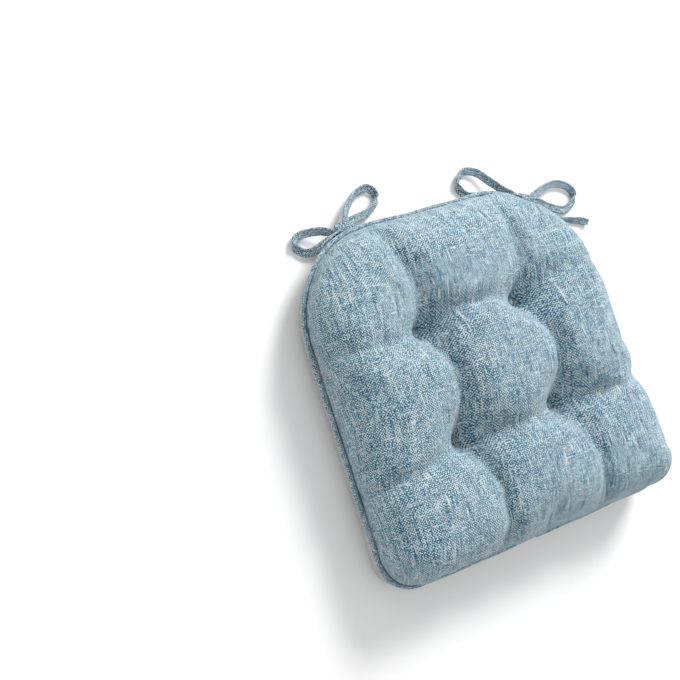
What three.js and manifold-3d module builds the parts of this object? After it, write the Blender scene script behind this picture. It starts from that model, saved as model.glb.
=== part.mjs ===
// Tufted U-shaped chair seat pad with two tie bows.
//
// Millimetres. +Z up, origin at the middle of the flat underside. -Y is the straight front edge,
// +Y the rounded back edge with the ties, +X the right-hand side.
//
// A pad is two fabric covers sewn together along one seam with a piping between them. The lower
// cover is a boxed tray that holds a foam slab. The upper cover is a dome over a fibre filling.
// Four threads pull the dome down into deep tufts. A tape is caught in the seam at each back
// corner, and its two halves are tied in a bow.

import * as THREE from 'three';
import { mergeVertices } from 'three/addons/utils/BufferGeometryUtils.js';
import Module from 'manifold-3d';

const wasm = await Module();
wasm.setup();

// ---------- driving dimensions ----------

// Seam line, seen from above: a straight front, small front corners, sides that lean in towards
// the back, and large back shoulders.
const SEAM_DEPTH = 402;
const FRONT_HALF_WIDTH = 211;
const FRONT_CORNER_RADIUS = 39;
const SHOULDER_RADIUS = 118;
const SHOULDER_CENTRE_X = 84;

// Heights above the underside.
const SEAM_HEIGHT = 31.3;
const BULGE_HEIGHT = 48;
const RIM_HEIGHT = 92;
const CROWN_HEIGHT = 100;
const FOAM_TOP = 26;
const PIT_HEIGHT = 40;

// Upper cover's outline in section.
const BULGE = 2;
const RIM_WIDTH = 46;

// Cloth and seam.
const CLOTH = 1;
const WELT_CLOTH = 0.5;
const GAP = 0.3;
const ALLOWANCE = 10;
const WELT_CORD_RADIUS = 2;
const WELT_OUT = 2.2;
const COVER_INSET = 1;

// Lower cover's outline in section, from the underside up, as [out from the seam line, height].
const TRAY_WALL = [[-5, 0], [-2.4, 2], [-COVER_INSET, 8]];

// Filling: how far it stays off the upper cover, and how far its foot stays off the allowances.
const FILL_CLEARANCE = 0.5;
const FOOT_CLEARANCE = 4;

// Tufts, two across and two deep.
const TUFT_X = 73;
const TUFT_Y = 66;
const PIT_FLOOR_RADIUS = 7;
const BUTTON_RADIUS = 5;
const THREAD_RADIUS = 0.9;
const NEEDLE_HOLE = 1.4;
const DIMPLE_RADIUS = 12.2;
const DIMPLE_HEIGHT = 3.2;
const STITCH_LENGTH = 4;
const STITCH_HEIGHT = 1;
const STITCH_DROP = 1.6;

// Shapes in section: the pit's side as [out from its floor's edge, up from its floor], the button as
// [share of its radius, up from its base], the dimple and the knot as shares of radius and height.
const PIT_SIDE = [[0, 0], [1.5, 5], [5, 18], [11, 33], [20, 48], [33, 58], [44, 62]];
const BUTTON_SHAPE = [[0.88, 0], [1, 1], [0.92, 3.2], [0.6, 5.1], [0, 5.7]];
const DIMPLE_SHAPE = [[1, 0], [0.65, 0.28], [0.33, 0.75]];
const KNOT_SHAPE = [[0.74, -1], [1, -0.7], [1, 0.7], [0.74, 1]];

// How far the filling can sink under a sitter.
const SINK = 20;

// Ties. A tape stands on its edge in the bows.
const TAPE_WIDTH = 9.5;
const TAPE_THICKNESS = 2.6;
const ROOT_THICKNESS = 1.6;
const ROOT_ANGLE = THREE.MathUtils.degToRad(27.5);
const ROOT_REACH = 3.2;
const ROOT_DROP = 1.6;
const SLOT_MARGIN = 0.4;
const STRAP_HEIGHT = 5;
const STRAP_THICKNESS = 3;
const STRAP_LEVEL = 25.3;
const KNOT_RADIUS = 7.5;
const KNOT_LENGTH = 12;
const KNOT_LEVEL = 19;
const EXIT_LEVEL = 17.5;
const LEAD = 4;

// Facets.
const AROUND_FRONT = 3;
const AROUND_CORNER = 4;
const AROUND_SIDE = 3;
const AROUND_SHOULDER = 7;
const AROUND_BACK = 1;
const AROUND_TUFT = 12;
const AROUND_PIPING = 8;
const AROUND_CORD = 6;
const AROUND_TAPE = 8;
const AROUND_KNOT = 12;
const RIM_STEPS = 5;
const CROWN_RINGS = [0.65, 0.3];
const LOOP_STEPS = 18;
const TAIL_STEPS = 8;
const STRAP_STEPS = 5;

// ---------- derived values ----------

const FRONT_Y = -SEAM_DEPTH / 2;
const BACK_Y = SEAM_DEPTH / 2;
const CORNER_CENTRE = new THREE.Vector2(
  FRONT_HALF_WIDTH - FRONT_CORNER_RADIUS,
  FRONT_Y + FRONT_CORNER_RADIUS,
);
const SHOULDER_CENTRE = new THREE.Vector2(SHOULDER_CENTRE_X, BACK_Y - SHOULDER_RADIUS);
const TUFTS = [[-TUFT_X, -TUFT_Y], [TUFT_X, -TUFT_Y], [TUFT_X, TUFT_Y], [-TUFT_X, TUFT_Y]];

// Layers of the seam, from the lowest up: lower allowance, two piping legs, upper allowance.
const LEG_GAP = GAP / 2;
const LEG_OUT = LEG_GAP + WELT_CLOTH;
const UPPER_SEAM = SEAM_HEIGHT + LEG_OUT + GAP;
const LOWER_SEAM = SEAM_HEIGHT - LEG_OUT - GAP;

// ---------- materials ----------

const linen = new THREE.MeshStandardMaterial({ color: 0x8caab9, roughness: 0.95, metalness: 0 });
const piping = new THREE.MeshStandardMaterial({ color: 0x7f9dac, roughness: 0.95, metalness: 0 });
const tape = new THREE.MeshStandardMaterial({ color: 0x86a4b2, roughness: 0.95, metalness: 0 });
const gripCloth = new THREE.MeshStandardMaterial({ color: 0xcfcdc8, roughness: 0.9, metalness: 0 });
const foam = new THREE.MeshStandardMaterial({ color: 0xf2ecc8, roughness: 1, metalness: 0 });
const fibre = new THREE.MeshStandardMaterial({ color: 0xf7f7f4, roughness: 1, metalness: 0 });
const cotton = new THREE.MeshStandardMaterial({ color: 0xe8e6de, roughness: 0.9, metalness: 0 });

const group = new THREE.Group();

function addNode(name, geometry, material) {
  const mesh = new THREE.Mesh(geometry, material);
  mesh.name = name;
  group.add(mesh);
  return mesh;
}

// ---------- seam line ----------

// Half of the seam line as points with outward normals, from the front middle to the back middle.
function halfSeam() {
  const toShoulder = SHOULDER_CENTRE.clone().sub(CORNER_CENTRE);
  const lean = Math.acos((FRONT_CORNER_RADIUS - SHOULDER_RADIUS) / toShoulder.length());
  const sideNormal = toShoulder.angle() - lean;
  const points = [];
  const put = (x, y, angle) => points.push({ x, y, nx: Math.cos(angle), ny: Math.sin(angle) });
  const arc = (centre, radius, from, to, steps) => {
    for (let i = 0; i <= steps; i += 1) {
      const angle = from + ((to - from) * i) / steps;
      put(centre.x + radius * Math.cos(angle), centre.y + radius * Math.sin(angle), angle);
    }
  };
  for (let i = 0; i < AROUND_FRONT; i += 1) {
    put((CORNER_CENTRE.x * i) / AROUND_FRONT, FRONT_Y, -Math.PI / 2);
  }
  arc(CORNER_CENTRE, FRONT_CORNER_RADIUS, -Math.PI / 2, sideNormal, AROUND_CORNER);
  const cornerEnd = points[points.length - 1];
  const shoulderStart = {
    x: SHOULDER_CENTRE.x + SHOULDER_RADIUS * Math.cos(sideNormal),
    y: SHOULDER_CENTRE.y + SHOULDER_RADIUS * Math.sin(sideNormal),
  };
  for (let i = 1; i < AROUND_SIDE; i += 1) {
    const t = i / AROUND_SIDE;
    put(
      THREE.MathUtils.lerp(cornerEnd.x, shoulderStart.x, t),
      THREE.MathUtils.lerp(cornerEnd.y, shoulderStart.y, t),
      sideNormal,
    );
  }
  arc(SHOULDER_CENTRE, SHOULDER_RADIUS, sideNormal, Math.PI / 2, AROUND_SHOULDER);
  for (let i = 1; i <= AROUND_BACK; i += 1) {
    put(SHOULDER_CENTRE.x * (1 - i / AROUND_BACK), BACK_Y, Math.PI / 2);
  }
  return points;
}

function wholeSeam() {
  const right = halfSeam();
  const left = right.slice(1, -1).reverse().map((p) => ({ x: -p.x, y: p.y, nx: -p.nx, ny: p.ny }));
  return [...right, ...left];
}

const SEAM = wholeSeam();

// One ring of points, moved out of the seam line by out and placed at height z.
function ring(out, z) {
  return SEAM.map((p) => [p.x + p.nx * out, p.y + p.ny * out, z]);
}

// A ring drawn in towards the pad's middle by a share of its size.
function shrunkRing(out, share, z) {
  return ring(out, z).map(([x, y]) => [x * share, y * share, z]);
}

// ---------- solids from rings ----------

function geometryOf(vertices, faces) {
  const geometry = new THREE.BufferGeometry();
  geometry.setAttribute('position', new THREE.Float32BufferAttribute(vertices.flat(), 3));
  geometry.setIndex(faces.flat());
  geometry.computeVertexNormals();
  return geometry;
}

// A closed body from rings stacked upwards, with a flat fan at both ends.
function stackedSolid(rings) {
  const count = SEAM.length;
  const vertices = rings.flat();
  const faces = [];
  for (let level = 0; level < rings.length - 1; level += 1) {
    for (let i = 0; i < count; i += 1) {
      const a = level * count + i;
      const b = level * count + ((i + 1) % count);
      faces.push([a, b, b + count], [a, b + count, a + count]);
    }
  }
  const bottom = vertices.length;
  vertices.push([0, 0, rings[0][0][2]]);
  const top = vertices.length;
  vertices.push([0, 0, rings[rings.length - 1][0][2]]);
  const last = (rings.length - 1) * count;
  for (let i = 0; i < count; i += 1) {
    const next = (i + 1) % count;
    faces.push([bottom, next, i], [top, last + i, last + next]);
  }
  return geometryOf(vertices, faces);
}

// A closed body swept around the seam line. The profile is [out, z] points, anticlockwise when
// out points right and z points up.
function sweptRing(profile) {
  const count = SEAM.length;
  const vertices = profile.flatMap(([out, z]) => ring(out, z));
  const faces = [];
  for (let j = 0; j < profile.length; j += 1) {
    const nextRow = (j + 1) % profile.length;
    for (let i = 0; i < count; i += 1) {
      const next = (i + 1) % count;
      const a = j * count + i;
      const b = j * count + next;
      const c = nextRow * count + next;
      const d = nextRow * count + i;
      faces.push([a, b, c], [a, c, d]);
    }
  }
  return geometryOf(vertices, faces);
}

// ---------- cutting and joining ----------

function toManifold(geometry) {
  const bare = geometry.clone();
  bare.deleteAttribute('normal');
  bare.deleteAttribute('uv');
  const merged = mergeVertices(bare, 1e-4);
  return new wasm.Manifold(new wasm.Mesh({
    numProp: 3,
    vertProperties: Float32Array.from(merged.attributes.position.array),
    triVerts: Uint32Array.from(merged.index.array),
  }));
}

function toGeometry(solid) {
  const mesh = solid.getMesh();
  const geometry = new THREE.BufferGeometry();
  geometry.setAttribute('position', new THREE.BufferAttribute(mesh.vertProperties, 3));
  geometry.setIndex(new THREE.BufferAttribute(mesh.triVerts, 1));
  geometry.computeVertexNormals();
  return geometry;
}

// A turned body on an upright axis at (x, y). The profile is [radius, z] points, from low to high.
function turned(profile, x, y) {
  const points = profile.map(([radius, z]) => new THREE.Vector2(radius, z));
  const geometry = new THREE.LatheGeometry(points, AROUND_TUFT);
  geometry.rotateX(Math.PI / 2);
  geometry.translate(x, y, 0);
  return geometry;
}

function turnedTool(profile, x, y) {
  return toManifold(turned(profile, x, y));
}

function cylinderTool(radius, low, high, x, y) {
  return turnedTool([[0, low], [radius, low], [radius, high], [0, high]], x, y);
}

// ---------- the domed half ----------

// The dome, drawn in by inset. It stands on the given rings and starts at height from.
function dome(footRings, inset, from) {
  const rings = [...footRings];
  for (let i = 1; i <= RIM_STEPS; i += 1) {
    const angle = -Math.PI / 2 + (i / RIM_STEPS) * (Math.PI / 2);
    const z = BULGE_HEIGHT + (BULGE_HEIGHT - UPPER_SEAM - CLOTH) * Math.sin(angle);
    if (z > from) {
      rings.push(ring((BULGE + COVER_INSET) * Math.cos(angle) - COVER_INSET - inset, z));
    }
  }
  for (let i = 1; i <= RIM_STEPS; i += 1) {
    const angle = (i / RIM_STEPS) * (Math.PI / 2);
    const z = BULGE_HEIGHT + (RIM_HEIGHT - BULGE_HEIGHT - inset) * Math.sin(angle);
    if (z > from) {
      rings.push(ring(BULGE - inset - (RIM_WIDTH - inset) * (1 - Math.cos(angle)), z));
    }
  }
  for (const share of CROWN_RINGS) {
    const rise = (CROWN_HEIGHT - RIM_HEIGHT) * (1 - share * share);
    rings.push(shrunkRing(BULGE - RIM_WIDTH, share, RIM_HEIGHT + rise - inset));
  }
  return toManifold(stackedSolid(rings));
}

// The funnel that a tuft leaves in the dome, made wider and deeper by grow.
function pitTool(grow, x, y) {
  const above = CROWN_HEIGHT + 2 * PIT_FLOOR_RADIUS;
  const side = PIT_SIDE.map(([wider, higher]) => [
    PIT_FLOOR_RADIUS + wider + grow,
    PIT_HEIGHT + higher - grow,
  ]);
  const lip = side[side.length - 1][0];
  return turnedTool([[0, PIT_HEIGHT - grow], ...side, [lip, above], [0, above]], x, y);
}

function withPits(solid, grow) {
  return TUFTS.reduce((left, [x, y]) => left.subtract(pitTool(grow, x, y)), solid);
}

function withHoles(solid, radius, low, high) {
  return TUFTS.reduce((left, [x, y]) => left.subtract(cylinderTool(radius, low, high, x, y)), solid);
}

function topCover() {
  const seamTop = UPPER_SEAM + CLOTH;
  const outside = dome([ring(-COVER_INSET, UPPER_SEAM), ring(-COVER_INSET, seamTop)], 0, seamTop);
  const insideFoot = [
    ring(-ALLOWANCE, UPPER_SEAM - CLOTH),
    ring(-ALLOWANCE, seamTop),
    ring(-COVER_INSET - CLOTH - GAP, seamTop),
  ];
  const inside = dome(insideFoot, CLOTH, seamTop + CLOTH);
  const shell = withPits(outside, 0).subtract(withPits(inside, CLOTH));
  return toGeometry(withHoles(shell, NEEDLE_HOLE, SEAM_HEIGHT, CROWN_HEIGHT));
}

// The filling's lower part stands inside the seam allowances, and its upper part reaches out over
// the seam high enough to clear it when the filling sinks.
function fibreFill() {
  const inset = CLOTH + FILL_CLEARANCE;
  const low = FOAM_TOP + GAP;
  const ledge = SEAM_HEIGHT + WELT_CORD_RADIUS + WELT_CLOTH + SINK + 3 * GAP;
  const inner = -ALLOWANCE - FOOT_CLEARANCE;
  const foot = [ring(inner, low), ring(inner, ledge), ring(BULGE - inset - CLOTH, ledge)];
  const solid = withPits(dome(foot, inset, ledge + CLOTH), inset);
  return toGeometry(withHoles(solid, BUTTON_RADIUS / 2, 0, CROWN_HEIGHT));
}

// ---------- the boxed half ----------

// The dimple that a thread pulls up in the underside.
function dimple(x, y) {
  const under = [
    ...DIMPLE_SHAPE.map(([wide, high]) => [wide * DIMPLE_RADIUS, high * DIMPLE_HEIGHT]),
    [NEEDLE_HOLE, DIMPLE_HEIGHT],
  ];
  const over = under.map(([radius, z]) => [radius, z + CLOTH]);
  const rim = DIMPLE_RADIUS + CLOTH;
  return turnedTool([[rim, 0], [rim, CLOTH], ...over, ...under.reverse(), [rim, 0]], x, y);
}

function bottomCover() {
  const outside = stackedSolid([
    ...TRAY_WALL.map(([out, z]) => ring(out, z)),
    ring(-COVER_INSET, LOWER_SEAM),
  ]);
  const inside = stackedSolid([
    ...TRAY_WALL.map(([out, z]) => ring(out - CLOTH, z + CLOTH)),
    ring(-COVER_INSET - CLOTH, LOWER_SEAM - CLOTH),
    ring(-ALLOWANCE, LOWER_SEAM - CLOTH),
    ring(-ALLOWANCE, LOWER_SEAM + CLOTH),
  ]);
  let tray = toManifold(outside).subtract(toManifold(inside));
  tray = withHoles(tray, DIMPLE_RADIUS - GAP, -CLOTH, 2 * CLOTH);
  for (const [x, y] of TUFTS) {
    tray = tray.add(dimple(x, y));
  }
  for (const side of [-1, 1]) {
    tray = tray.subtract(toManifold(rootTab(side, SLOT_MARGIN)));
  }
  return toGeometry(tray);
}

function foamCore() {
  const slab = stackedSolid([
    ...TRAY_WALL.map(([out, z]) => ring(out - 2 * CLOTH, z + CLOTH + GAP)),
    ring(-COVER_INSET - 2 * CLOTH, FOAM_TOP),
  ]);
  const dimpleTop = DIMPLE_HEIGHT + CLOTH + 2 * GAP;
  const relieved = withHoles(toManifold(slab), DIMPLE_RADIUS + 2 * CLOTH, 0, dimpleTop);
  return toGeometry(withHoles(relieved, BUTTON_RADIUS / 2, 0, FOAM_TOP + CLOTH));
}

// ---------- piping ----------

// Outer and inner outline of the folded strip: a tube with two legs that lie in the seam.
function pipingArc(radius, halfLeg) {
  const start = Math.asin(halfLeg / radius);
  const points = [];
  for (let i = 0; i <= AROUND_PIPING; i += 1) {
    const angle = -Math.PI + start + ((2 * Math.PI - 2 * start) * i) / AROUND_PIPING;
    points.push([WELT_OUT + radius * Math.cos(angle), SEAM_HEIGHT + radius * Math.sin(angle)]);
  }
  return points;
}

function weltCover() {
  const inner = WELT_CORD_RADIUS + GAP;
  const outer = inner + WELT_CLOTH;
  return sweptRing([
    [-ALLOWANCE, SEAM_HEIGHT - LEG_OUT],
    ...pipingArc(outer, LEG_OUT),
    [-ALLOWANCE, SEAM_HEIGHT + LEG_OUT],
    [-ALLOWANCE, SEAM_HEIGHT + LEG_GAP],
    ...pipingArc(inner, LEG_GAP).reverse(),
    [-ALLOWANCE, SEAM_HEIGHT - LEG_GAP],
  ]);
}

function weltCord() {
  const profile = [];
  for (let i = 0; i < AROUND_CORD; i += 1) {
    const angle = (i / AROUND_CORD) * 2 * Math.PI;
    const out = WELT_OUT + WELT_CORD_RADIUS * Math.cos(angle);
    profile.push([out, SEAM_HEIGHT + WELT_CORD_RADIUS * Math.sin(angle)]);
  }
  return sweptRing(profile);
}

// ---------- tufts ----------

function tuftButton(x, y) {
  const base = PIT_HEIGHT + GAP;
  const side = BUTTON_SHAPE.map(([wide, high]) => [wide * BUTTON_RADIUS, base + high]);
  return turned([[0, base], ...side], x, y);
}

// A thread with a short cross stitch under the dimple.
function tuftThread(x, y) {
  const low = DIMPLE_HEIGHT - STITCH_DROP;
  const shaft = cylinderTool(THREAD_RADIUS, low, PIT_HEIGHT, x, y);
  const stitch = new THREE.BoxGeometry(STITCH_LENGTH, 2 * THREAD_RADIUS, STITCH_HEIGHT);
  stitch.translate(x, y, low + STITCH_HEIGHT / 2);
  return toGeometry(shaft.add(toManifold(stitch)));
}

// ---------- ties ----------

// A point on the back shoulder of one side, moved out of the seam by out.
function shoulderPoint(side, out, z) {
  const reach = SHOULDER_RADIUS + out;
  return new THREE.Vector3(
    side * (SHOULDER_CENTRE.x + reach * Math.sin(ROOT_ANGLE)),
    SHOULDER_CENTRE.y + reach * Math.cos(ROOT_ANGLE),
    z,
  );
}

// The end of the tape that is caught in the seam, grown by margin when it cuts its own slot.
function rootTab(side, margin) {
  const inner = -ALLOWANCE + CLOTH;
  const geometry = new THREE.BoxGeometry(
    TAPE_WIDTH + 2 * margin,
    ROOT_REACH - inner + 2 * margin,
    ROOT_THICKNESS + 2 * margin,
  );
  geometry.rotateZ(-side * ROOT_ANGLE);
  const middle = shoulderPoint(side, (ROOT_REACH + inner) / 2, LOWER_SEAM - CLOTH - GAP - ROOT_DROP);
  geometry.translate(middle.x, middle.y, middle.z);
  return geometry;
}

// A flat tape's section: first axis across the tape's width, second through its thickness.
function tapeSection(width, thickness) {
  const shape = new THREE.Shape();
  shape.absellipse(0, 0, width / 2, thickness / 2, 0, 2 * Math.PI);
  return new THREE.Shape(shape.getSpacedPoints(AROUND_TAPE).slice(0, AROUND_TAPE));
}

// A smooth route whose tape stands on its edge all the way.
class TapeRoute extends THREE.CatmullRomCurve3 {
  computeFrenetFrames(segments) {
    const frames = { tangents: [], normals: [], binormals: [] };
    for (let i = 0; i <= segments; i += 1) {
      const tangent = this.getTangentAt(i / segments);
      const across = new THREE.Vector3(0, 0, 1).projectOnPlane(tangent).normalize();
      frames.tangents.push(tangent);
      frames.normals.push(across);
      frames.binormals.push(new THREE.Vector3().crossVectors(tangent, across));
    }
    return frames;
  }
}

function tapeAlong(route, steps, width, thickness) {
  return new THREE.ExtrudeGeometry(tapeSection(width, thickness), {
    steps,
    extrudePath: new TapeRoute(route.map((p) => new THREE.Vector3(...p))),
    bevelEnabled: false,
  });
}

// Each bow's knot stands on its own spot beside the piping, turned to the bow's direction. A loop
// leaves and enters, and a tail leaves, at one end of the knot: end 1 is the end the knot's
// direction points to. start and finish say how far beside the knot's axis the tape passes.
const BOWS = {
  left: {
    side: -1,
    knot: [-104, 209.5],
    turn: THREE.MathUtils.degToRad(18.7),
    tapes: {
      loop_outer: {
        end: -1,
        start: 2.4,
        finish: -2.4,
        route: [
          [-128.6, 214.5, 12], [-145.1, 217, 7.5], [-158, 214.5, 5.1], [-162.5, 206.5, 5.1],
          [-157.5, 198, 5.1], [-146.5, 194, 6.5], [-131, 197.5, 12],
        ],
      },
      loop_inner: {
        end: 1,
        start: 4.8,
        finish: 1.6,
        route: [
          [-80, 234.4, 11.5], [-59.5, 248, 7], [-40, 250.3, 5.1], [-33, 236.5, 5.1], [-52, 222.5, 7.5],
          [-75, 217.8, 13],
        ],
      },
      tail_long: {
        end: 1,
        start: -1.6,
        route: [[-81, 208.6, 10], [-66, 206, 6], [-42, 204.8, 5.1], [-12, 204.6, 5.1]],
      },
      tail_short: {
        end: 1,
        start: -4.8,
        route: [[-84, 204.6, 11], [-72, 202.2, 7], [-55, 201.6, 5.1], [-28, 201.5, 5.1]],
      },
    },
  },
  right: {
    side: 1,
    knot: [166, 185],
    turn: THREE.MathUtils.degToRad(-26.6),
    tapes: {
      loop_inner: {
        end: -1,
        start: 2.4,
        finish: -2.4,
        route: [
          [146, 201.5, 15], [133.7, 217, 11], [118, 235.5, 7], [101.8, 239.8, 5.1], [87.5, 227.4, 5.1],
          [91.6, 212.9, 5.1], [110.6, 204.8, 7.5], [140, 196, 14.5],
        ],
      },
      loop_outer: {
        end: 1,
        start: 4.8,
        finish: 1.6,
        route: [
          [190, 187, 15], [211.8, 193, 10], [234.2, 194.8, 6.5], [253.4, 186, 5.1], [258, 171.4, 5.1],
          [237.5, 159.8, 5.1], [213.4, 166.3, 8], [191, 177, 14],
        ],
      },
      tail_long: {
        end: 1,
        start: -1.6,
        route: [
          [184, 172.5, 13], [197.5, 162.5, 8], [216.8, 151.8, 5.1], [244.6, 142.8, 5.1], [266, 135, 5.1],
        ],
      },
      tail_short: {
        end: 1,
        start: -4.8,
        route: [[181.5, 166, 12], [191.5, 150, 7], [200, 128, 5.1], [205, 100, 5.1]],
      },
    },
  },
};

function knot() {
  const half = KNOT_LENGTH / 2;
  const side = KNOT_SHAPE.map(([wide, along]) => [wide * KNOT_RADIUS, along * half]);
  const profile = [[0, -half], ...side, [0, half]];
  return new THREE.LatheGeometry(profile.map((point) => new THREE.Vector2(...point)), AROUND_KNOT);
}

// A point off one end of a bow's knot, away from that end and beside the knot's axis.
function offKnot(bow, end, away, beside, z) {
  const along = end * (KNOT_LENGTH / 2 + away);
  return [
    bow.knot[0] + along * Math.cos(bow.turn) - beside * Math.sin(bow.turn),
    bow.knot[1] + along * Math.sin(bow.turn) + beside * Math.cos(bow.turn),
    z,
  ];
}

// The gathered tape between the seam and the knot. It passes over a loop's lower strand.
function strapRoute(bow) {
  return [
    shoulderPoint(bow.side, ROOT_REACH + 2 * GAP, STRAP_LEVEL).toArray(),
    shoulderPoint(bow.side, ROOT_REACH + LEAD, STRAP_LEVEL).toArray(),
    offKnot(bow, -1, LEAD, 0, STRAP_LEVEL),
    offKnot(bow, -1, GAP, 0, STRAP_LEVEL),
  ];
}

// A tape leaves its knot straight, follows its route, and a loop comes back straight.
function tapeRoute(bow, { end, start, finish, route }) {
  const off = (away, beside) => offKnot(bow, end, away, beside, EXIT_LEVEL);
  const back = finish === undefined ? [] : [off(LEAD, finish), off(GAP, finish)];
  return [off(GAP, start), off(LEAD, start), ...route, ...back];
}

function addBow(name, bow) {
  addNode(`${name}_tie_root`, rootTab(bow.side, 0), tape);
  addNode(`${name}_tie_strap`, tapeAlong(strapRoute(bow), STRAP_STEPS, STRAP_HEIGHT, STRAP_THICKNESS), tape);
  const knotMesh = addNode(`${name}_tie_knot`, knot(), tape);
  knotMesh.position.set(bow.knot[0], bow.knot[1], KNOT_LEVEL);
  knotMesh.rotation.z = bow.turn - Math.PI / 2;
  for (const [part, description] of Object.entries(bow.tapes)) {
    const route = tapeRoute(bow, description);
    const steps = description.finish === undefined ? TAIL_STEPS : LOOP_STEPS;
    addNode(`${name}_tie_${part}`, tapeAlong(route, steps, TAPE_WIDTH, TAPE_THICKNESS), tape);
  }
}

// ---------- assembly ----------

addNode('bottom_cover', bottomCover(), gripCloth);
addNode('foam_core', foamCore(), foam);
addNode('fibre_fill', fibreFill(), fibre);
addNode('top_cover', topCover(), linen);
addNode('welt_cover', weltCover(), piping);
addNode('welt_cord', weltCord(), cotton);
TUFTS.forEach(([x, y], index) => {
  addNode(`tuft_button_${index + 1}`, tuftButton(x, y), linen);
  addNode(`tuft_thread_${index + 1}`, tuftThread(x, y), cotton);
});
for (const [name, bow] of Object.entries(BOWS)) {
  addBow(name, bow);
}

export default group;
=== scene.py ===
"""Tufted chair seat pad with two tie bows: fabric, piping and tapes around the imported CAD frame.

Metres, in the CAD's frame: +Z up, -Y the straight front edge, +Y the rounded back edge.
"""
import math

import bmesh
import bpy
import numpy as np
from mathutils import Matrix, Vector


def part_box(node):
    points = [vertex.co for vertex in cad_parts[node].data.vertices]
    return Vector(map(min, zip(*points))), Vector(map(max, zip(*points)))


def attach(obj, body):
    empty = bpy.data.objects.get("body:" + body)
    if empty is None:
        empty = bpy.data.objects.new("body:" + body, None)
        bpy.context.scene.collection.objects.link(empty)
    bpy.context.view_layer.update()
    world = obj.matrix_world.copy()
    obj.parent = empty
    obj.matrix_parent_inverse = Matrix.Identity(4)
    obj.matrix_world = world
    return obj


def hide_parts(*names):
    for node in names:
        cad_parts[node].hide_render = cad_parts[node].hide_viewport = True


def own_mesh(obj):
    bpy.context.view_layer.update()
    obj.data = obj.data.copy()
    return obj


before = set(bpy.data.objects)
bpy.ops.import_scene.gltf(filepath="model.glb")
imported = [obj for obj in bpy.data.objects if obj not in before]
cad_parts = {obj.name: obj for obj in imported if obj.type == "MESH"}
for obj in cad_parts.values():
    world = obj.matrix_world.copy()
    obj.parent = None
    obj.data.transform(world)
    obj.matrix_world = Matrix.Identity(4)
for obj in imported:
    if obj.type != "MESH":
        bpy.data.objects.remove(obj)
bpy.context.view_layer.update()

MM = 0.001

# ---------- driving sizes, from the frame where it has them ----------

welt_low, welt_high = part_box("welt_cover")
cover_low, cover_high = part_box("top_cover")
button_low, button_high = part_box("tuft_button_3")

# Sizes that no box of the frame gives: how far the piping stands out from the seam line, and the
# radii of its front corners and back shoulders.
PIPING_REACH = 5.1 * MM
HALF_WIDTH = welt_high.x - PIPING_REACH
BACK_Y = welt_high.y - PIPING_REACH
FRONT_CORNER = 39 * MM
SHOULDER = 118 * MM
SHOULDER_X = 84 * MM
SEAM_Z = (welt_low.z + welt_high.z) / 2
CROWN_Z = cover_high.z
TUFT_X = (button_low.x + button_high.x) / 2
TUFT_Y = (button_low.y + button_high.y) / 2
PIT_Z = button_low.z + 2 * MM
TUFTS = [(-TUFT_X, -TUFT_Y), (TUFT_X, -TUFT_Y), (TUFT_X, TUFT_Y), (-TUFT_X, TUFT_Y)]


# ---------- camera ----------

CAMERA_PLACE = (-1.036, -0.006, 1.485)
CAMERA_FORWARD = (0.514, 0.054, -0.856)
CAMERA_UP = (0.262, 0.941, 0.216)
CAMERA_LENS = 79.4


def make_camera():
    data = bpy.data.cameras.new("camera")
    data.sensor_width = 36
    data.lens = CAMERA_LENS
    camera = bpy.data.objects.new("camera", data)
    bpy.context.scene.collection.objects.link(camera)
    forward = Vector(CAMERA_FORWARD).normalized()
    up = Vector(CAMERA_UP)
    up = (up - up.dot(forward) * forward).normalized()
    right = forward.cross(up)
    turn = Matrix((right, up, -forward)).transposed().to_4x4()
    camera.matrix_world = Matrix.Translation(CAMERA_PLACE) @ turn
    data.clip_start = 0.1
    data.clip_end = 50
    bpy.context.scene.camera = camera


# ---------- small helpers ----------

def new_object(name, vertices, faces, body="pad"):
    mesh = bpy.data.meshes.new(name)
    mesh.from_pydata([tuple(v) for v in vertices], [], [tuple(f) for f in faces])
    mesh.validate()
    mesh.update()
    mesh.shade_smooth()
    piece = bpy.data.objects.new(name, mesh)
    bpy.context.scene.collection.objects.link(piece)
    if body:
        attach(piece, body)
    return piece


def lay_weave(mesh, uv):
    """The piece's flat coordinates in metres, one for each corner of each face."""
    layer = mesh.uv_layers.new(name="weave")
    layer.data.foreach_set("uv", np.array(uv, np.float32).ravel())


def corner_vertices(mesh):
    """The vertex at each corner of each face."""
    corners = np.empty(len(mesh.loops), int)
    mesh.loops.foreach_get("vertex_index", corners)
    return corners


def read_places(mesh):
    return np.array([v.co for v in mesh.vertices])


def write_places(mesh, places):
    mesh.vertices.foreach_set("co", places.astype(np.float32).ravel())
    mesh.update()


def unit(vectors):
    return vectors / np.maximum(np.linalg.norm(vectors, axis=-1, keepdims=True), 1e-9)


def lengths_along(points):
    """The length so far at each point of a line."""
    return np.concatenate([[0], np.cumsum(np.linalg.norm(np.diff(points, axis=0), axis=1))])


def tuft_distance(points):
    """How far each point is from the nearest tuft, seen from above."""
    return np.min([np.linalg.norm(points - tuft, axis=-1) for tuft in TUFTS], axis=0)


def smooth_step(t):
    t = np.clip(t, 0, 1)
    return t * t * (3 - 2 * t)


# ---------- seam line ----------

def seam_arcs():
    """The centres of the right front corner and shoulder, and the angle of the side's outward normal."""
    corner = np.array([HALF_WIDTH - FRONT_CORNER, -BACK_Y + FRONT_CORNER])
    shoulder = np.array([SHOULDER_X, BACK_Y - SHOULDER])
    across = shoulder - corner
    lean = math.acos((FRONT_CORNER - SHOULDER) / np.linalg.norm(across))
    side = math.atan2(across[1], across[0]) - lean
    return corner, shoulder, side


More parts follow.
